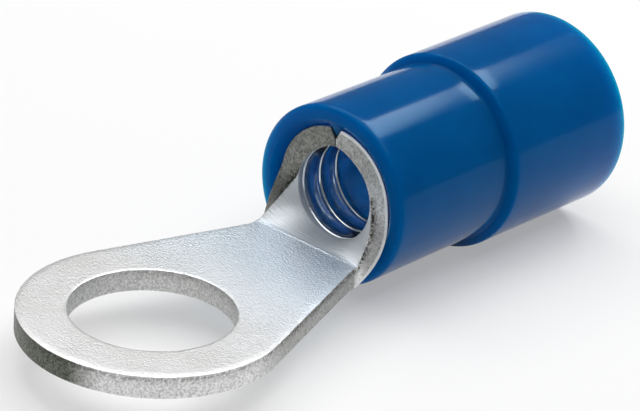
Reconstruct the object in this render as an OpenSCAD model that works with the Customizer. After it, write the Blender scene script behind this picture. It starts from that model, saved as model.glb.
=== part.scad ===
// Insulated crimp ring terminal for a heavy stranded conductor.
// One strip of tinned copper is punched to a ring at one end and rolled into a
// barrel at the other, and a stepped plastic sleeve is pushed over the barrel.
// X runs from the stud hole towards the wire entry and Z runs up the stud.
// The origin is the centre of the stud hole on the underside of the ring.

/* [Ring and tongue] */
// Diameter of the stud hole
stud_hole_d = 8.5; // [6:0.1:9.5]
// Outside diameter of the ring
ring_d = 13.6; // [12.5:0.1:16]
// Thickness of the metal strip
sheet_t = 1.2; // [0.8:0.05:1.5]
// Distance from the stud hole to the line where the tongue starts to roll up
tongue_l = 11.4; // [10:0.1:16]

/* [Barrel] */
// Bore of the rolled barrel
barrel_bore_d = 5; // [4.2:0.1:6]
// Length of the rolled barrel behind its mouth
barrel_l = 8.8; // [8:0.1:14]
// Length over which the tongue rolls up into the barrel
roll_l = 1.8; // [1.4:0.1:3]
// Width of the tongue at its neck
neck_w = 7; // [6:0.1:7.6]
// Radius of the inside corner between the neck and the rolled part
neck_fillet = 1.9; // [1.2:0.1:2.4]
// How far the barrel's underside lies below the tongue's
barrel_drop = 0.2; // [0:0.05:0.4]
// Chamfer at the wire end of the barrel's bore
wire_chamfer = 0.3; // [0.1:0.05:0.5]

/* [Seam] */
// Turn of the seam from the top of the barrel
seam_turn = 4; // [-10:1:10]
// Width of the seam where the strip's two ends meet
seam_gap = 0.06; // [0.04:0.01:0.15]
// Height above the bore up to which the ends meet
seam_shut = 0.6; // [0.4:0.05:0.7]
// Width of the seam at the outside of the barrel
seam_open = 0.75; // [0.3:0.05:1]
// Angle each side of the seam over which the strip's end stays straight
seam_straight = 30; // [26:1:36]
// Height of the peak that the straight ends leave in the bore
seam_peak = 0.22; // [0.1:0.01:0.22]

/* [Crimp grooves] */
// Number of grooves round the bore
groove_count = 3; // [1:1:4]
// Distance from the barrel's mouth to the first groove
groove_first = 0.35; // [0.3:0.05:1]
// Distance from one groove to the next
groove_pitch = 1.3; // [0.8:0.05:1.7]
// Width of a groove at the bore
groove_w = 0.3; // [0.2:0.05:0.5]
// Depth of a groove
groove_depth = 0.12; // [0.05:0.01:0.2]

/* [Sleeve] */
// Length of the sleeve
sleeve_l = 18.45; // [16:0.05:22]
// Wall of the sleeve over the barrel
sleeve_wall = 1.2; // [0.7:0.05:1.6]
// Radial clearance between the barrel and the sleeve
sleeve_fit = 0.03; // [0.02:0.01:0.1]
// How far the barrel's mouth lies inside the sleeve's front
mouth_recess = 0.35; // [0:0.05:0.5]
// Distance from the sleeve's front to its shoulder
shoulder_at = 8.6; // [6:0.1:10]
// Slope of the shoulder
shoulder_slope = 60; // [45:5:80]
// Bore of the wire entry
entry_bore_d = 9.2; // [8.5:0.1:10.5]
// Wall of the sleeve round the wire entry
entry_wall = 0.85; // [0.7:0.05:1.4]
// Growth in radius along the wire entry, so that it leaves its mould
entry_draft = 0.09; // [0:0.01:0.2]
// Radius of the sleeve's outer front edge
front_round = 0.3; // [0.1:0.05:0.5]
// Radius of the inside corner at the foot of the shoulder
shoulder_foot = 0.2; // [0.1:0.05:0.3]
// Radius of the shoulder's and the back end's outer edges
back_round = 0.2; // [0.1:0.05:0.3]
// Chamfer inside the sleeve's ends
end_chamfer = 0.3; // [0.1:0.05:0.4]

/* [Hidden] */
$fn = 96;
cut = 0.5; // how far a cutting solid runs past the face that it cuts
lap = 0.01; // how far the stretches of the strip run into each other

// Ring and barrel
ring_r = ring_d / 2;
bore_r = barrel_bore_d / 2;
mid_r = bore_r + sheet_t / 2;
barrel_r = bore_r + sheet_t;
mouth_x = tongue_l + roll_l;
axis_z = sheet_t / 2 - barrel_drop + mid_r;

// Neck: the ring's edge runs straight to a fillet that turns it across the strip
fillet_c = [mouth_x - neck_fillet, neck_w / 2 + neck_fillet];
taper = asin((ring_r + neck_fillet) / norm(fillet_c)) - atan2(fillet_c.y, fillet_c.x);
taper_normal = [sin(taper), cos(taper)];
ring_tangent = (ring_r - lap) * taper_normal;
fillet_tangent = fillet_c - neck_fillet * taper_normal;

// Loft between the flat tongue and the barrel
roll_steps = 12;
roll_columns = 36;

// Sleeve
seat_r = barrel_r + sleeve_fit;
narrow_r = seat_r + sleeve_wall;
entry_bore_r = entry_bore_d / 2;
entry_r = entry_bore_r + entry_wall;
sleeve_x = mouth_x - mouth_recess;
seat_l = barrel_l + mouth_recess + sleeve_fit;
arc_steps = 8;
flare_steps = 6;

// Half width of the unrolled strip at a distance x from the stud hole
function half_width(x) =
    x < fillet_tangent.x
        ? ring_tangent.y - (x - ring_tangent.x) * tan(taper)
        : fillet_c.y - sqrt(max(0, pow(neck_fillet, 2) - pow(x - fillet_c.x, 2)));

// Point of the rolled strip: u across it, v above its middle layer.
// The share of the barrel's curvature grows evenly from the tongue to the mouth
function strip_point(x, u, v) =
    let (
        bend = min(1, max(0, (x - tongue_l) / roll_l)),
        base = sheet_t / 2 - barrel_drop * bend
    )
    bend == 0
        ? [x, u, base + v]
        : let (radius = mid_r / bend, turn = u / radius * 180 / PI)
          [x, (radius - v) * sin(turn), base + radius - (radius - v) * cos(turn)];

// One closed section of the strip: along its inner face and back along its outer
function strip_section(x) =
    let (w = half_width(min(x, mouth_x)) - lap, v = sheet_t / 2 - lap, n = roll_columns)
    concat(
        [for (i = [0 : n]) strip_point(x, w * (2 * i / n - 1), v)],
        [for (i = [0 : n]) strip_point(x, w * (1 - 2 * i / n), -v)]
    );

// Furthest that the strip's outer face reaches from the barrel's axis
function neck_reach(x) =
    let (w = half_width(x))
    max([for (i = [0 : roll_columns])
        let (q = strip_point(x, w * i / roll_columns, -sheet_t / 2))
        norm([q.y, q.z - axis_z])]);

// Flare of the sleeve's front, which clears the neck where it swells past the barrel
function front_flare() =
    max(end_chamfer, max([for (i = [0 : flare_steps])
        let (depth = mouth_recess * i / flare_steps)
        depth + neck_reach(sleeve_x + depth) + sleeve_fit - seat_r]));

// Points of an arc about a centre, from one angle to another
function arc(centre, r, from, to) =
    [for (i = [0 : arc_steps])
        let (a = from + (to - from) * i / arc_steps)
        centre + r * [cos(a), sin(a)]];

// Puts what was drawn along Z, with Y up, on the barrel's axis
module along_barrel(x) {
    translate([x, 0, axis_z]) rotate([90, 0, 90]) children();
}

// Flat ring and tapering tongue, with the stud hole
module tongue() {
    linear_extrude(height = sheet_t)
        difference() {
            union() {
                circle(r = ring_r);
                intersection() {
                    polygon([
                        ring_tangent,
                        fillet_tangent,
                        [mouth_x, fillet_tangent.y],
                        [mouth_x, -fillet_tangent.y],
                        [fillet_tangent.x, -fillet_tangent.y],
                        [ring_tangent.x, -ring_tangent.y]
                    ]);
                    translate([0, -ring_d]) square([tongue_l, 2 * ring_d]);
                }
            }
            for (side = [-1, 1])
                translate([fillet_c.x, side * fillet_c.y]) circle(r = neck_fillet);
            circle(d = stud_hole_d);
        }
}

// Part of the strip that curls up from the tongue into the barrel's mouth. Its
// sections crowd towards the mouth, and it laps a little into both neighbours
module rolled_neck() {
    places = concat(
        [tongue_l - lap],
        [for (i = [0 : roll_steps]) tongue_l + roll_l * sin(90 * i / roll_steps)],
        [mouth_x + lap]
    );
    sections = [for (x = places) strip_section(x)];
    n = len(sections[0]);
    sides = [for (s = [0 : len(sections) - 2]) for (i = [0 : n - 1])
        let (a = s * n + i, b = s * n + (i + 1) % n)
        each [[a, b, b + n], [a, b + n, a + n]]];
    // The end sections are closed column by column across the strip's thickness
    columns = [for (i = [0 : roll_columns - 1]) [i, i + 1, n - 2 - i, n - 1 - i]];
    start = [for (q = columns) [q[3], q[2], q[1], q[0]]];
    end = [for (q = columns) [for (k = q) k + (len(sections) - 1) * n]];
    polyhedron(points = [for (s = sections) each s], faces = concat(sides, start, end));
}

// Gap between the strip's two ends along the top of the barrel. They meet over
// the inner part of the wall, and their rounded edges open to a groove outside
module seam() {
    rotate(90 + seam_turn)
        translate([0, 0, -cut])
        linear_extrude(height = barrel_l + 2 * cut) {
            slope = (seam_open - seam_gap) / (sheet_t - seam_shut) / 2;
            polygon([
                [bore_r, -seam_gap / 2],
                [bore_r + seam_shut, -seam_gap / 2],
                [barrel_r + cut, -seam_open / 2 - cut * slope],
                [barrel_r + cut, seam_open / 2 + cut * slope],
                [bore_r + seam_shut, seam_gap / 2],
                [bore_r, seam_gap / 2]
            ]);
            polygon([
                [0, 0],
                bore_r * [cos(seam_straight), -sin(seam_straight)],
                [bore_r + seam_peak, 0],
                bore_r * [cos(seam_straight), sin(seam_straight)]
            ]);
        }
}

// Grooves that the crimped strands are pressed into
module grooves() {
    for (i = [0 : groove_count - 1])
        translate([0, 0, groove_first + i * groove_pitch])
            rotate_extrude()
            polygon([
                [bore_r - groove_depth, -groove_w / 2],
                [bore_r, -groove_w / 2],
                [bore_r + groove_depth, -groove_w / 4],
                [bore_r + groove_depth, groove_w / 4],
                [bore_r, groove_w / 2],
                [bore_r - groove_depth, groove_w / 2]
            ]);
}

module barrel() {
    along_barrel(mouth_x)
        difference() {
            cylinder(r = barrel_r, h = barrel_l);
            translate([0, 0, -cut]) cylinder(r = bore_r, h = barrel_l + 2 * cut);
            translate([0, 0, barrel_l - wire_chamfer])
                cylinder(r1 = bore_r, r2 = bore_r + wire_chamfer, h = wire_chamfer);
            grooves();
            seam();
        }
}

module terminal() {
    color("silver") {
        tongue();
        rolled_neck();
        barrel();
    }
}

// Half section of the sleeve: radius across, distance from its front up
function sleeve_section() =
    let (
        flare = front_flare(),
        rounds = shoulder_foot + back_round,
        rise = entry_r - narrow_r - rounds * (1 - cos(shoulder_slope)),
        shoulder_end = shoulder_at + rise / tan(shoulder_slope) + rounds * sin(shoulder_slope),
        funnel_end = seat_l + entry_bore_r - seat_r
    )
    concat(
        [
            [seat_r, seat_l],
            [seat_r, flare],
            [seat_r + flare, 0]
        ],
        arc([narrow_r - front_round, front_round], front_round, -90, 0),
        arc([narrow_r + shoulder_foot, shoulder_at], shoulder_foot, 180, 180 - shoulder_slope),
        arc([entry_r - back_round, shoulder_end], back_round, -shoulder_slope, 0),
        arc([entry_r + entry_draft - back_round, sleeve_l - back_round], back_round, 0, 90),
        [
            [entry_bore_r + end_chamfer, sleeve_l],
            [entry_bore_r, sleeve_l - end_chamfer],
            [entry_bore_r, funnel_end]
        ]
    );

module sleeve() {
    color([0.02, 0.29, 0.56])
        along_barrel(sleeve_x)
        rotate_extrude()
        polygon(sleeve_section());
}

terminal();
sleeve();
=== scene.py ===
import math

import bmesh
import bpy
from mathutils import Matrix, Vector, noise


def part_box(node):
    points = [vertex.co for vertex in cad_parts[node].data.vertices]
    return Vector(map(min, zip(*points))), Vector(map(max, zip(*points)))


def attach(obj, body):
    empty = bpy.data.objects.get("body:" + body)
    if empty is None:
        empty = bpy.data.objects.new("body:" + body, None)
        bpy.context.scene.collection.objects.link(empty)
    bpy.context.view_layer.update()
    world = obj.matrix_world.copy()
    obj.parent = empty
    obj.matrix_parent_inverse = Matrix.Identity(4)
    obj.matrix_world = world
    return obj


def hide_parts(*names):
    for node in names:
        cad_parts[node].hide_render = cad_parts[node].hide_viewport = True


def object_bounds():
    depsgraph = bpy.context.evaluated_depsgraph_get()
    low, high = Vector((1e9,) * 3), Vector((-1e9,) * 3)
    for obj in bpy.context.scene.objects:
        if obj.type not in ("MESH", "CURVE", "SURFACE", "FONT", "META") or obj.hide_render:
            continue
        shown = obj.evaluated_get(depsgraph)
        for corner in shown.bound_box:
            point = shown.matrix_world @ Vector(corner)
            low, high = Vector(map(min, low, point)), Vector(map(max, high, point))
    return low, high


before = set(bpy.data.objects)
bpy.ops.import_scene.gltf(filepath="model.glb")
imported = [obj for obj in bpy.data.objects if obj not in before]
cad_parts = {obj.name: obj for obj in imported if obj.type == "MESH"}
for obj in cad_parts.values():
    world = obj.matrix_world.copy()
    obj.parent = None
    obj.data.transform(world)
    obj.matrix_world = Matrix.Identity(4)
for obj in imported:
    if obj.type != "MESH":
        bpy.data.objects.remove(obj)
cad_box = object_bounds()
bpy.ops.object.select_all(action="DESELECT")

# ---------------------------------------------------------------- Metal terminal
# The ring, tongue and barrel are one strip of tinned copper. The blank is punched
# flat, with rounded upper edges and rough sheared walls, and is then rolled up
# past the bend line until its two ends meet along the top of the barrel.
MM = 0.001
tiny = 1e-6
sheet = 1.2 * MM
half_sheet = sheet / 2
terminal_low, terminal_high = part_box("terminal")
ring_r = -terminal_low.x
hole_r = 4.25 * MM
bend_x = 11.4 * MM
mouth_x = 13.2 * MM
barrel_end = terminal_high.x
bore_r = 2.5 * MM
middle_r = bore_r + half_sheet
barrel_drop = 0.2 * MM
axis_z = half_sheet - barrel_drop + middle_r
neck_fillet = 1.9 * MM
neck_half = 3.5 * MM

# The strip's ends meet up to seam_shut above the bore, and part outside that. They
# stay straight beside the seam, which leaves a small peak along the bore
seam_turn = math.radians(4)
seam_half_gap = 0.03 * MM
seam_half_open = 0.375 * MM
seam_shut = 0.6 * MM
seam_straight = math.radians(30)
seam_peak = 0.2 * MM

# The tongue's straight sides touch the ring and run into the neck's fillets
fillet_x, fillet_y = mouth_x - neck_fillet, neck_half + neck_fillet
taper = math.asin((ring_r + neck_fillet) / math.hypot(fillet_x, fillet_y))
taper -= math.atan2(fillet_y, fillet_x)
tangent_x, tangent_y = ring_r * math.sin(taper), ring_r * math.cos(taper)
fillet_start = fillet_x - neck_fillet * math.sin(taper)


def ramp(value, start, width):
    """The value's way through a stretch: 0 before its start, 1 past its end."""
    return min(1.0, max(0.0, (value - start) / width))


def strip_half_width(x):
    """Half width of the flat blank between the ring and the barrel's mouth."""
    if x < fillet_start:
        return tangent_y - (x - tangent_x) * math.tan(taper)
    return fillet_y - math.sqrt(max(0.0, neck_fillet**2 - (x - fillet_x) ** 2))


def edge_inset(x, y):
    """How far a point of the flat blank lies inside the punched outline."""
    if x > mouth_x:
        return math.hypot(x - mouth_x, max(0.0, strip_half_width(mouth_x) - abs(y)))
    if x > fillet_start:
        return math.hypot(x - fillet_x, abs(y) - fillet_y) - neck_fillet
    if math.atan2(abs(y), x) > math.pi / 2 - taper:
        return ring_r - math.hypot(x, y)
    return (strip_half_width(x) - abs(y)) * math.cos(taper)


# The outline's points, starting at the near end of the bend line and going round
bend_columns, side_steps, ring_steps = 40, 56, 130
bend_half = strip_half_width(bend_x)
outline = [(bend_x, bend_half * (2 * i / bend_columns - 1)) for i in range(bend_columns + 1)]
side = [bend_x + (tangent_x - bend_x) * i / side_steps for i in range(1, side_steps + 1)]
outline += [(x, strip_half_width(x)) for x in side]
for i in range(1, ring_steps):
    a = math.pi / 2 - taper + (math.pi + 2 * taper) * i / ring_steps
    outline.append((ring_r * math.cos(a), ring_r * math.sin(a)))
outline += [(x, -strip_half_width(x)) for x in reversed(side)]
directions = [math.atan2(y, x) for x, y in outline]


def outline_point(co):
    """The outline's point in the same direction from the stud hole's centre."""
    a = math.atan2(co.y, co.x)
    turns_off = [abs(math.remainder(direction - a, math.tau)) for direction in directions]
    x, y = outline[turns_off.index(min(turns_off))]
    return Vector((x, y, co.z))


def extrude_rim(place, chosen=None):
    """Extrudes the selected edges, or the chosen ones, and puts each new point in place."""
    if chosen:
        mesh = bmesh.from_edit_mesh(bpy.context.object.data)
        for face in mesh.faces:
            face.select = False
        for edge in mesh.edges:
            edge.select = chosen(edge.verts[0].co) and chosen(edge.verts[1].co)
        mesh.select_flush_mode()
        bmesh.update_edit_mesh(bpy.context.object.data)
    bpy.ops.mesh.extrude_edges_move()
    mesh = bmesh.from_edit_mesh(bpy.context.object.data)
    for vert in mesh.verts:
        if vert.select:
            vert.co = place(vert.co)
    bmesh.update_edit_mesh(bpy.context.object.data)


bpy.ops.mesh.primitive_circle_add(vertices=len(outline), radius=hole_r, fill_type="NOTHING")
terminal = bpy.context.object
terminal.name = "rolled_terminal"
for vert, a in zip(terminal.data.vertices, directions):
    vert.co = (hole_r * math.cos(a), hole_r * math.sin(a), 0.0)
bpy.ops.object.mode_set(mode="EDIT")
bpy.ops.mesh.select_mode(type="EDGE")
bpy.ops.mesh.select_all(action="SELECT")

# Loops crowd towards the hole and the outline, where the punch rounded the edge
hole_insets = [d * MM for d in (0.04, 0.1, 0.2, 0.35)]
outline_insets = [d * MM for d in (0.9, 0.65, 0.45, 0.3, 0.18, 0.09, 0.04, 0.0)]
middle_loops = 7
for inset in hole_insets:
    extrude_rim(lambda co: Vector((co.x, co.y, 0)).normalized() * (hole_r + inset))
for k in range(1, middle_loops):
    def between_loops(co, k=k):
        rim = outline_point(co)
        direction = Vector((rim.x, rim.y, 0)).normalized()
        inner = hole_r + hole_insets[-1]
        outer = math.hypot(rim.x, rim.y) - outline_insets[0]
        return direction * (inner + (outer - inner) * k / middle_loops)
    extrude_rim(between_loops)
for inset in outline_insets:
    def towards_outline(co, inset=inset):
        rim = outline_point(co)
        direction = Vector((rim.x, rim.y, 0)).normalized()
        return direction * (math.hypot(rim.x, rim.y) - inset)
    extrude_rim(towards_outline)


def on_bend_line(co):
    """Whether a point of the ring's rim lies on the line where the strip starts to bend."""
    return abs(co.x - bend_x) < tiny and abs(co.y) < bend_half + tiny


# The neck widens along its fillet, and its steps crowd towards the barrel's mouth
neck_steps = 34
last_x = bend_x
for k in range(1, neck_steps + 1):
    x = bend_x + (mouth_x - bend_x) * math.sin(math.pi / 2 * k / neck_steps)
    grow = strip_half_width(x) / strip_half_width(last_x)
    extrude_rim(lambda co: Vector((x, co.y * grow, co.z)), on_bend_line if k == 1 else None)
    last_x = x

# The barrel's stretch goes on from the neck, with loops at each groove's edges
groove_first, groove_pitch, groove_count = 0.35 * MM, 1.3 * MM, 3
groove_w, groove_depth, groove_reach = 0.3 * MM, 0.12 * MM, 0.55
grooves = [mouth_x + groove_first + groove_pitch * i for i in range(groove_count)]
wire_chamfer = 0.3 * MM
stations = [mouth_x + 0.05 * MM]
for g in grooves:
    across_groove = (-groove_reach, -0.4, -0.25, 0.25, 0.4, groove_reach)
    stations += [g + groove_w * f for f in across_groove]
stations += [grooves[-1] + groove_pitch * f for f in (0.5, 1, 1.6, 2.2, 2.8, 3.4)]
stations += [barrel_end - wire_chamfer, barrel_end]
for x in stations:
    extrude_rim(lambda co: Vector((x, co.y, co.z)))

# Both flanks grow out sideways until the strip is long enough to close the barrel
flank = strip_half_width(mouth_x)
neck_turn = flank / middle_r
strip_end = math.pi * middle_r - seam_half_gap
flank_steps = 18
for k in range(1, flank_steps + 1):
    u = flank + (strip_end - flank) * k / flank_steps
    past = flank + (strip_end - flank) * (k - 1) / flank_steps
    extrude_rim(
        lambda co: Vector((co.x, math.copysign(u, co.y), co.z)),
        lambda co: co.x > mouth_x - tiny and abs(abs(co.y) - past) < tiny,
    )
bpy.ops.object.mode_set(mode="OBJECT")

# The flat blank gets its thickness, loops along its walls, and broken edges
thicken = terminal.modifiers.new("thickness", "SOLIDIFY")
thicken.thickness = sheet
thicken.offset = 0
bpy.ops.object.modifier_apply(modifier=thicken.name)
bpy.ops.object.mode_set(mode="EDIT")
wall_levels = [level * MM for level in (0.46, 0.3, 0.0, -0.3, -0.5)]
edge_break, sharp_angle = 0.045 * MM, math.radians(50)
for level in wall_levels:
    bpy.ops.mesh.select_all(action="SELECT")
    bpy.ops.mesh.bisect(plane_co=(0, 0, level), plane_no=(0, 0, 1))
bpy.ops.mesh.select_all(action="SELECT")
bpy.ops.mesh.normals_make_consistent(inside=False)
bpy.ops.object.mode_set(mode="OBJECT")
soften = terminal.modifiers.new("broken_edges", "BEVEL")
soften.width = edge_break
soften.segments = 2
soften.limit_method = "ANGLE"
soften.angle_limit = sharp_angle
bpy.ops.object.modifier_apply(modifier=soften.name)

# The punch drew the upper edges down and left ragged burrs on the neck. Each point
# gets this form on the flat blank, and is then rolled up
draw_depth, draw_width = 0.045 * MM, 0.42 * MM
draw_fades_from, draw_fade = bend_x - 1.2 * MM, 1.5 * MM
hole_draw_depth, hole_draw_width = 0.03 * MM, 0.14 * MM
bend_ridge, ridge_half_width = 0.035 * MM, 0.06 * MM
burr_height, burr_limit, burr_from = 0.05 * MM, 0.01 * MM, bend_x - 1 * MM
ring_burr, burr_grain = 0.4, 5.2 / MM


def draw_down(co):
    """Height that the punch took off the upper face beside the outline and the hole."""
    inset = max(0.0, edge_inset(co.x, co.y))
    past_hole = max(0.0, math.hypot(co.x, co.y) - hole_r)
    fade = 1 - ramp(co.x, draw_fades_from, draw_fade)
    drop = draw_depth * fade * max(0.0, 1 - inset / draw_width) ** 2
    return drop + hole_draw_depth * max(0.0, 1 - past_hole / hole_draw_width) ** 2


def groove_at(x):
    """Depth of the crimp grooves pressed into the barrel's inner face."""
    depth = 0.0
    for g in grooves:
        off = min(1.0, abs(x - g) / (groove_reach * groove_w))
        depth = max(depth, math.cos(off * math.pi / 2) ** 2)
    return depth * groove_depth


# Painted dark reflection on the sheared walls, from 0 for the bare wall to 1 where the wall is
# painted dark as if it mirrored the dim studio. The ring's tip is a stretch of its wall, given in
# degrees round the stud hole
hole_reflection_darkness, far_neck_reflection_darkness, flank_reflection_darkness = 0.25, 0.85, 0.55
near_neck_reflection_darkness, near_neck_shine = 0.68, 0.15
dark_reflection_tip, dark_reflection_tip_half, dark_reflection_tip_fade = 150, 39, 15
beside_hole = 0.1 * MM


def painted_reflection_darkness(x, u):
    """How dark the sheared wall is painted, as a painted dark reflection. The ring's tip and the
    neck's far side are darkest.
    """
    if math.hypot(x, u) < hole_r + beside_hole:
        return hole_reflection_darkness
    if x > bend_x and u > 0:
        return far_neck_reflection_darkness
    if x > bend_x:
        return near_neck_reflection_darkness * ramp(-u / strip_end, 0.45, 0.3) - near_neck_shine
    from_tip = abs(math.remainder(math.degrees(math.atan2(u, x)) - dark_reflection_tip, 360))
    tip_share = 1 - ramp(from_tip, dark_reflection_tip_half, dark_reflection_tip_fade)
    return max(tip_share, flank_reflection_darkness * ramp(x, 0, 3 * MM))


# The strip's last half radian is fitted to the seam's gap
closing_turn = math.pi - 0.5


def rolled(co):
    """The place of a point of the flat blank once the strip is rolled up."""
    x, u, v = co
    if x <= bend_x:
        return Vector((x, u, half_sheet + v))
    bend = min(1.0, (x - bend_x) / (mouth_x - bend_x))
    radius = middle_r / bend
    turn = u / radius
    if x > mouth_x - tiny:
        # The strip's ends stay straight, meet over the wall's inner part and part outside
        from_end = (math.pi - abs(turn)) / seam_straight
        if v > 0 and from_end < 1:
            v -= seam_peak * (1 - from_end) * v / half_sheet
        outside = max(0.0, (half_sheet - seam_shut - v) / (sheet - seam_shut))
        gap = seam_half_gap + (seam_half_open - seam_half_gap) * outside
        limit = math.pi - gap / (middle_r - v)
        if abs(turn) > closing_turn:
            share = (abs(turn) - closing_turn) / (strip_end / middle_r - closing_turn)
            turn = math.copysign(closing_turn + (limit - closing_turn) * share, turn)
        turn -= seam_turn * max(0.0, (abs(turn) - neck_turn) / (math.pi - neck_turn))
    reach = radius - v
    height = half_sheet - barrel_drop * bend + radius - reach * math.cos(turn)
    return Vector((x, reach * math.sin(turn), height))


sheared = 1
for face in terminal.data.polygons:
    face.material_index = sheared if abs(face.normal.z) < 0.5 else 0

# Each point carries marks for the materials: the dark ragged line along the upper edge,
# partly the torn burr and partly painted shadow under it, a painted highlight on the near
# wall's outer edge, where the rolling tool worked the tin, where the bore mirrors the sleeve,
# how dark the walls are painted as a painted dark reflection, and how coarse the tin's grain
# is and how much painted blue reflection of the sleeve it takes
mark_names = ("burr_and_shadow", "painted_highlight", "worked", "mirrored", "painted_dark_reflection", "coarse_and_painted_sheen")
for name in mark_names:
    terminal.data.attributes.new(name, "FLOAT", "POINT")
marks = {name: terminal.data.attributes[name] for name in mark_names}
burr_level, burr_spread, rim_width = 0.43 * MM, 0.2 * MM, 0.06 * MM
least_burr, hole_burr, burr_grows_from, burr_growth = 0.6, 0.3, 1 * MM, 4 * MM
highlight_level, highlight_fade, highlight_end = 0.3 * MM, 0.2 * MM, mouth_x + 0.03 * MM
worked_from, worked_fade = bend_x - 0.1 * MM, 0.3 * MM
mirrored_from, mirrored_fade = grooves[0], 0.15 * MM
coarse_and_sheen_from, coarse_and_sheen_fade = 2 * MM, 6 * MM
upper_part, upper_edge = 0.3 * MM, 0.4 * MM
for vert in terminal.data.vertices:
    x, u, v = vert.co
    inset = edge_inset(x, u)
    hole_inset = math.hypot(x, u) - hole_r
    rim = max(0.0, 1 - min(inset, hole_inset) / rim_width)
    burr_and_shadow = rim * max(0.0, 1 - abs(v - burr_level) / burr_spread)
    burr_and_shadow *= least_burr + ramp(x, burr_grows_from, burr_growth)
    burr_and_shadow *= hole_burr if hole_inset < inset else 1
    on_near_wall = u < 0 and bend_x < x < highlight_end
    values = {
        "burr_and_shadow": min(1.0, burr_and_shadow),
        "painted_highlight": ramp(-v, highlight_level, highlight_fade) if on_near_wall else 0.0,
        "worked": ramp(x, worked_from, worked_fade),
        "mirrored": ramp(x, mirrored_from, mirrored_fade),
        "painted_dark_reflection": painted_reflection_darkness(x, u),
        "coarse_and_painted_sheen": ramp(x, coarse_and_sheen_from, coarse_and_sheen_fade),
    }
    for name, value in values.items():
        marks[name].data[vert.index].value = value
    if v > 0 and x < mouth_x:
        v -= draw_down(vert.co) * v / half_sheet
    if v > upper_part and x > mouth_x:
        v -= groove_at(x) + max(0.0, x - (barrel_end - wire_chamfer))
    if v > upper_part:
        v += bend_ridge * math.exp(-((x - bend_x) / ridge_half_width) ** 2)
    ragged = noise.noise(Vector((x, u, v)) * burr_grain)
    if x > burr_from and rim > 0 and v > upper_edge:
        v = min(half_sheet + burr_limit, v + burr_height * ragged * rim)
    elif rim > 0.5 and v > upper_part:
        v += ring_burr * burr_height * ragged
    vert.co = rolled(Vector((x, u, v)))

bpy.ops.object.shade_smooth_by_angle(angle=math.radians(32))


# The tin is a thin dull plate on copper: fine grained on the flat of the sheet,
# rubbed smooth where the rolling tool worked it, and torn on the sheared walls.
def finish_of(name, slot_colour, metallic, rough):
    """A new material and its Principled shader."""
    material = bpy.data.materials.new(name)
    material.use_nodes = True
    shader = material.node_tree.nodes["Principled BSDF"]
    shader.inputs["Base Color"].default_value = (*slot_colour, 1)
    shader.inputs["Metallic"].default_value = metallic
    shader.inputs["Roughness"].default_value = rough
    return material, shader


def add_node(material, kind, **settings):
    """Adds one shader node. Settings named as its sockets fill them, others are its options."""
    made = material.node_tree.nodes.new(kind)
    for key, value in settings.items():
        socket = made.inputs.get(key.replace("_", " ").title())
        if socket is not None:
            socket.default_value = value
        else:
            setattr(made, key, value)
    return made


def join(material, source, target):
    """Joins a node's output to another node's input."""
    material.node_tree.links.new(source, target)


def fill(material, socket, value):
    """Gives an input a number, a colour, or another node's output."""
    if isinstance(value, bpy.types.NodeSocket):
        join(material, value, socket)
    else:
        socket.default_value = (*value, 1) if isinstance(value, tuple) else value


def grain(material, scale, stretch=(1, 1, 1), detail=3.0, roughness=0.55):
    """A noise in the piece's own coordinates, its scale in cells a millimetre."""
    place = add_node(material, "ShaderNodeTexCoord")
    stretched = add_node(material, "ShaderNodeMapping")
    stretched.inputs["Scale"].default_value = stretch
    made = add_node(material, "ShaderNodeTexNoise", Scale=scale / MM)
    made.inputs["Detail"].default_value = detail
    made.inputs["Roughness"].default_value = roughness
    join(material, place.outputs["Object"], stretched.inputs["Vector"])
    join(material, stretched.outputs["Vector"], made.inputs["Vector"])
    return made.outputs["Fac"]


def spread(material, value, low, high, out_low, out_high):
    """Maps a value between two limits to two others."""
    made = add_node(
        material, "ShaderNodeMapRange", From_Min=low, From_Max=high, To_Min=out_low, To_Max=out_high
    )
    join(material, value, made.inputs["Value"])
    return made.outputs["Result"]


# Places of the colours among the mix node's inputs and outputs
first_colour, second_colour, blended_colour = 6, 7, 2


def two_colours(material, value, first, second):
    """Blends two colours by a value."""
    made = add_node(material, "ShaderNodeMix", data_type="RGBA")
    fill(material, made.inputs["Factor"], value)
    fill(material, made.inputs[first_colour], first)
    fill(material, made.inputs[second_colour], second)
    return made.outputs[blended_colour]


def reckon(material, a, operation, b):
    """One step of arithmetic on two values, each a number or a node's output."""
    made = add_node(material, "ShaderNodeMath", operation=operation)
    fill(material, made.inputs[0], a)
    fill(material, made.inputs[1], b)
    return made.outputs[0]


def mark(material, name):
    """One of the marks that the piece's points carry."""
    made = add_node(material, "ShaderNodeAttribute", attribute_name=name)
    return made.outputs["Fac"]


def raise_surface(material, shader, height, distance):
    """Bumps the shader's surface by a height, in units of a distance in millimetres."""
    made = add_node(material, "ShaderNodeBump", Strength=1.0, Distance=distance * MM)
    join(material, height, made.inputs["Height"])
    join(material, made.outputs["Normal"], shader.inputs["Normal"])


# Some of these colours paint light: a pale blue for the sleeve's reflection towards the neck, dark
# tones for the walls' reflection of the dim studio and for shadow under the burr, and a near white
# for a highlight on the near wall's edge
tin_colours = (0.84, 0.84, 0.83), (0.92, 0.92, 0.92)
painted_sleeve_reflection, burr_shadow = (0.72, 0.86, 0.98), (0.1, 0.1, 0.08)
bare_wall_colours = (0.48, 0.48, 0.48), (0.92, 0.92, 0.92)
dark_reflection_colours = (0.02, 0.025, 0.015), (0.2, 0.21, 0.18)
burr_and_shadow_colour, painted_highlight_colour = (0.04, 0.04, 0.03), (0.97, 1.0, 1.0)

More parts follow.
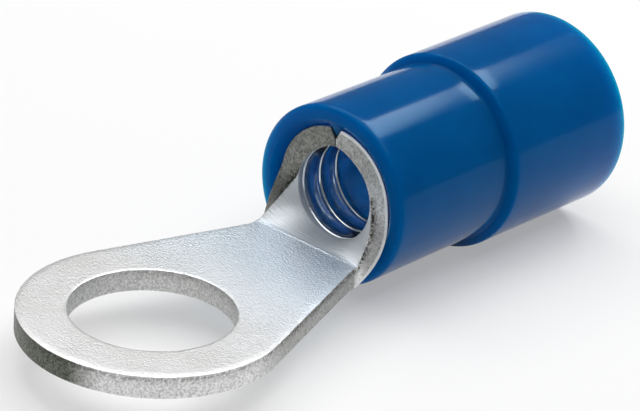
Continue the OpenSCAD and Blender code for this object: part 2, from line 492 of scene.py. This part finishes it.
tin, shader = finish_of("tin_on_sheet", (0.88, 0.88, 0.87), 0.8, 0.36)
worked, mirrored, coarse_and_painted_sheen = mark(tin, "worked"), mark(tin, "mirrored"), mark(tin, "coarse_and_painted_sheen")
fine = grain(tin, 13.0, stretch=(1, 0.6, 1), detail=2.0, roughness=0.4)
brushed = grain(tin, 9.0, stretch=(1, 0.1, 0.3), detail=2.0)
clouds = spread(tin, grain(tin, 0.35), 0.35, 0.65, 0, 1)
cloudy = two_colours(tin, clouds, *tin_colours)

# Its colour takes a painted blue reflection of the sleeve towards the neck, and is dark along the
# upper edge, partly for the torn burr and partly as painted shadow under it
sleeve_reflection_share = reckon(tin, coarse_and_painted_sheen, "MULTIPLY", 0.6)
sleeve_reflection_share = reckon(tin, sleeve_reflection_share, "SUBTRACT", reckon(tin, worked, "MULTIPLY", 0.3))
with_sleeve_reflection = two_colours(tin, sleeve_reflection_share, cloudy, painted_sleeve_reflection)
specks = spread(tin, grain(tin, 7.0), 0.45, 0.55, 0, 1.3)
burr_and_painted_shadow = reckon(tin, mark(tin, "burr_and_shadow"), "MULTIPLY", specks)
join(tin, two_colours(tin, burr_and_painted_shadow, with_sleeve_reflection, burr_shadow), shader.inputs["Base Color"])

# It is rougher where it was worked, and the bore is smooth and mirrors more
rough = spread(tin, fine, 0.3, 0.7, 0.3, 0.42)
rough = reckon(tin, rough, "ADD", reckon(tin, worked, "MULTIPLY", 0.2))
rough = reckon(tin, rough, "SUBTRACT", reckon(tin, mirrored, "MULTIPLY", 0.4))
join(tin, rough, shader.inputs["Roughness"])
join(tin, spread(tin, mirrored, 0, 1, 0.8, 1.0), shader.inputs["Metallic"])

# The grain stands up more towards the neck and gives way to the tool's strokes
grained = reckon(tin, coarse_and_painted_sheen, "ADD", 1.0)
grained = reckon(tin, grained, "SUBTRACT", reckon(tin, worked, "MULTIPLY", 2.0))
grained = reckon(tin, fine, "MULTIPLY", grained)
strokes = reckon(tin, brushed, "MULTIPLY", worked)
strokes = reckon(tin, strokes, "MULTIPLY", reckon(tin, 1.0, "SUBTRACT", mirrored))
raise_surface(tin, shader, reckon(tin, grained, "ADD", strokes), 0.028)

torn, shader = finish_of("torn_wall", (0.6, 0.6, 0.58), 0.8, 0.4)
pits = grain(torn, 8.0, detail=5.0, roughness=0.7)
streaks = grain(torn, 3.0, stretch=(1, 1, 0.25))
bare_wall = two_colours(torn, spread(torn, pits, 0.35, 0.6, 0, 1), *bare_wall_colours)
dark_reflected_wall = two_colours(torn, spread(torn, pits, 0.35, 0.65, 0, 1), *dark_reflection_colours)
# The walls are painted dark where they would mirror the dim studio: a painted dark reflection
walls = two_colours(torn, mark(torn, "painted_dark_reflection"), bare_wall, dark_reflected_wall)

# A dark line under the upper edge is partly the torn burr and partly painted shadow under it, and a
# painted highlight runs along the near wall's outer edge
specks = spread(torn, grain(torn, 7.0), 0.42, 0.56, 0.2, 1.2)
burr_and_painted_shadow = reckon(torn, mark(torn, "burr_and_shadow"), "MULTIPLY", specks)
lined = two_colours(torn, burr_and_painted_shadow, walls, burr_and_shadow_colour)
painted_highlight = spread(torn, mark(torn, "painted_highlight"), 0.45, 0.7, 0, 1)
join(torn, two_colours(torn, painted_highlight, lined, painted_highlight_colour), shader.inputs["Base Color"])
join(torn, spread(torn, painted_highlight, 0, 1, 0.8, 0.2), shader.inputs["Metallic"])
join(torn, spread(torn, pits, 0.3, 0.7, 0.5, 0.34), shader.inputs["Roughness"])
raise_surface(torn, shader, reckon(torn, pits, "ADD", streaks), 0.01)

terminal.data.materials.append(tin)
terminal.data.materials.append(torn)

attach(terminal, "root")
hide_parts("terminal")

# ---------------------------------------------------------------- Plastic sleeve
# One moulded tube of glossy blue plastic, pushed over the barrel. It steps out at
# its shoulder to let the wire's insulation in, and both of its ends are rounded.
sleeve_low, sleeve_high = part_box("sleeve")
sleeve_front, sleeve_end = sleeve_low.x, sleeve_high.x
seat_r = 3.73 * MM
narrow_r = 4.93 * MM
entry_bore_r = 4.6 * MM
entry_r = 5.45 * MM
end_r = sleeve_high.z - axis_z
shoulder_x = sleeve_front + 8.6 * MM
shoulder_slope = math.radians(60)
front_round, foot_round, back_round = 0.3 * MM, 0.2 * MM, 0.2 * MM
end_chamfer = 0.3 * MM
seat_end = 22.03 * MM

# The front's mouth flares out round the swelling neck, more steeply near its lip
flare = 0.46 * MM
knee_x, knee_r = flare * 0.1, flare * 0.88

# A small rib on the seat fills the V of the barrel's seam
rib_height, rib_half = 0.5 * MM, math.radians(6.5)
plastic_colours = (0.0, 0.075, 0.25), (0.0, 0.09, 0.29)


def rounding(x, r, radius, start, end, steps=6):
    """Points of a rounded edge of the sleeve's section about (x, r), angles in degrees."""
    points = []
    for i in range(steps + 1):
        a = math.radians(start + (end - start) * i / steps)
        points.append((x + radius * math.cos(a), r + radius * math.sin(a)))
    return points


rounds = foot_round + back_round
rise = entry_r - narrow_r - rounds * (1 - math.cos(shoulder_slope))
shoulder_end = shoulder_x + rise / math.tan(shoulder_slope) + rounds * math.sin(shoulder_slope)
slope = math.degrees(shoulder_slope)
entry_l, swell = sleeve_end - shoulder_end, end_r - entry_r

# The section runs from the seat's far end out to the front, over the outside to the
# wire entry, and back in through the entry's bore
profile = [(seat_end, seat_r), (sleeve_front + 4 * MM, seat_r), (sleeve_front + flare, seat_r)]
profile += [(sleeve_front + knee_x, seat_r + knee_r), (sleeve_front, seat_r + flare)]
profile += rounding(sleeve_front + front_round, narrow_r - front_round, front_round, 180, 90)
profile += [(sleeve_front + d * MM, narrow_r) for d in (0.7, 2, 4, 6, 7.6)]
profile += rounding(shoulder_x, narrow_r + foot_round, foot_round, -90, -90 + slope)
profile += rounding(shoulder_end, entry_r - back_round, back_round, 90 + slope, 90)
profile += [(shoulder_end + entry_l * f, entry_r + swell * f) for f in (0.1, 0.3, 0.5, 0.7, 0.9)]
profile += rounding(sleeve_end - back_round, end_r - back_round, back_round, 90, 0)
profile += [(sleeve_end, entry_bore_r + end_chamfer), (sleeve_end - end_chamfer, entry_bore_r)]
profile += [(seat_end + 5 * MM, entry_bore_r), (seat_end + entry_bore_r - seat_r, entry_bore_r)]

sleeve_sides = 180
bpy.ops.object.select_all(action="DESELECT")
bpy.ops.mesh.primitive_circle_add(
    vertices=sleeve_sides,
    radius=seat_r,
    fill_type="NOTHING",
    location=(seat_end, 0, axis_z),
    rotation=(0, math.pi / 2, 0),
)
sleeve = bpy.context.object
sleeve.name = "moulded_sleeve"
bpy.ops.object.transform_apply(location=True, rotation=True, scale=True)
bpy.ops.object.mode_set(mode="EDIT")
bpy.ops.mesh.select_mode(type="EDGE")
bpy.ops.mesh.select_all(action="SELECT")
for x, r in profile[1:]:
    def onto_section(co, x=x, r=r):
        outwards = Vector((0, co.y, co.z - axis_z)).normalized()
        if r == seat_r:
            off = abs(math.remainder(math.atan2(outwards.y, outwards.z) - seam_turn, math.tau))
            r -= rib_height * max(0.0, 1 - off / rib_half)
        return Vector((x, outwards.y * r, outwards.z * r + axis_z))
    extrude_rim(onto_section)

# The section's last loop is joined to its first across the step inside the sleeve
mesh = bmesh.from_edit_mesh(sleeve.data)
for edge in mesh.edges:
    edge.select = edge.is_boundary
mesh.select_flush_mode()
bmesh.update_edit_mesh(sleeve.data)
bpy.ops.mesh.bridge_edge_loops()
bpy.ops.mesh.select_all(action="SELECT")
bpy.ops.mesh.normals_make_consistent(inside=False)
bpy.ops.object.mode_set(mode="OBJECT")
bpy.ops.object.shade_smooth_by_angle(angle=math.radians(25))

# Light passes through the plastic's wall, which lights up the bore inside it
blue, shader = finish_of("blue_plastic", (0.0, 0.075, 0.26), 0.0, 0.16)
shader.inputs["Specular IOR Level"].default_value = 0.13
shader.inputs["Specular Tint"].default_value = (0.0, 0.6, 1.0, 1)
shader.inputs["Subsurface Weight"].default_value = 0.8
shader.inputs["Subsurface Radius"].default_value = (0.02, 0.68, 0.9)
shader.inputs["Subsurface Scale"].default_value = 6 * MM
clouds = spread(blue, grain(blue, 0.25, detail=2.0), 0.3, 0.7, 0, 1)
pigment = two_colours(blue, clouds, *plastic_colours)
join(blue, pigment, shader.inputs["Base Color"])
skin = grain(blue, 4.0, detail=2.0)
join(blue, spread(blue, skin, 0.3, 0.7, 0.1, 0.15), shader.inputs["Roughness"])
raise_surface(blue, shader, skin, 0.0008)
sleeve.data.materials.append(blue)

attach(sleeve, "root")
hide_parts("sleeve")

# ---------------------------------------------------------------- Table and light
# The terminal lies on a plain white table in a dim studio. A large soft lamp overhead
# lights all of it, and the sleeve mirrors the edge of a narrow bright one behind it.
table_size = 1.6
table_glow = 0.35
studio_light = 0.15
white, shader = finish_of("white_table", (0.93, 0.93, 0.93), 0.0, 0.7)
bpy.ops.mesh.primitive_plane_add(size=table_size, location=(0, 0, cad_box[0][2]))
table = bpy.context.object
table.name = "table"
table.data.materials.append(white)

# Where it is seen directly, mirrored or through the plastic, the table glows a little
seen = add_node(white, "ShaderNodeLightPath").outputs
glow = add_node(white, "ShaderNodeEmission", Color=(1, 1, 1, 1))
blend = add_node(white, "ShaderNodeMixShader")
direct = reckon(white, seen["Is Camera Ray"], "MAXIMUM", seen["Is Glossy Ray"])
direct = reckon(white, direct, "MAXIMUM", seen["Is Transmission Ray"])
join(white, reckon(white, direct, "MULTIPLY", table_glow), blend.inputs[0])
join(white, shader.outputs["BSDF"], blend.inputs[1])
join(white, glow.outputs["Emission"], blend.inputs[2])
surface = white.node_tree.nodes["Material Output"].inputs["Surface"]
join(white, blend.outputs["Shader"], surface)

studio = bpy.context.scene.world or bpy.data.worlds.new("studio")
bpy.context.scene.world = studio
studio.use_nodes = True
background = studio.node_tree.nodes["Background"]
background.inputs["Color"].default_value = (1, 1, 1, 1)
background.inputs["Strength"].default_value = studio_light


def soft_lamp(name, centre, width, depth, turn, brightness):
    """A rectangular lamp that hangs level, in metres. White is a brightness of 1."""
    light = bpy.data.lights.new(name, "AREA")
    light.shape = "RECTANGLE"
    light.size, light.size_y = width, depth
    light.energy = brightness * math.pi * width * depth
    lamp = bpy.data.objects.new(name, light)
    bpy.context.scene.collection.objects.link(lamp)
    lamp.location = centre
    lamp.rotation_euler = (0, 0, math.radians(turn))


soft_lamp("overhead_lamp", (0.08, 0.08, 0.36), 0.56, 0.7, turn=0, brightness=1.7)
soft_lamp("back_lamp", (0.353, 0.0195, 0.359), 0.08, 0.185, turn=-10.8, brightness=11.0)

# ---------------------------------------------------------------- Camera
# A long lens looks down on the ring from the front and one side, a little tilted.
sensor_width, focal_length = 36.0, 166.18
camera_place = Vector((-94.23, -88.28, 69.88)) * MM
rightward = Vector((0.66598, -0.74156, 0.08097)).normalized()
upward = Vector((0.27572, 0.34556, 0.89698))
backward = rightward.cross(upward).normalized()
upward = backward.cross(rightward)
lens = bpy.data.cameras.new("camera")
lens.sensor_width, lens.lens = sensor_width, focal_length
camera = bpy.data.objects.new("camera", lens)
bpy.context.scene.collection.objects.link(camera)
placed = Matrix((rightward, upward, backward)).transposed().to_4x4()
placed.translation = camera_place
camera.matrix_world = placed
bpy.context.scene.camera = camera
bpy.context.scene.view_settings.view_transform = "Standard"
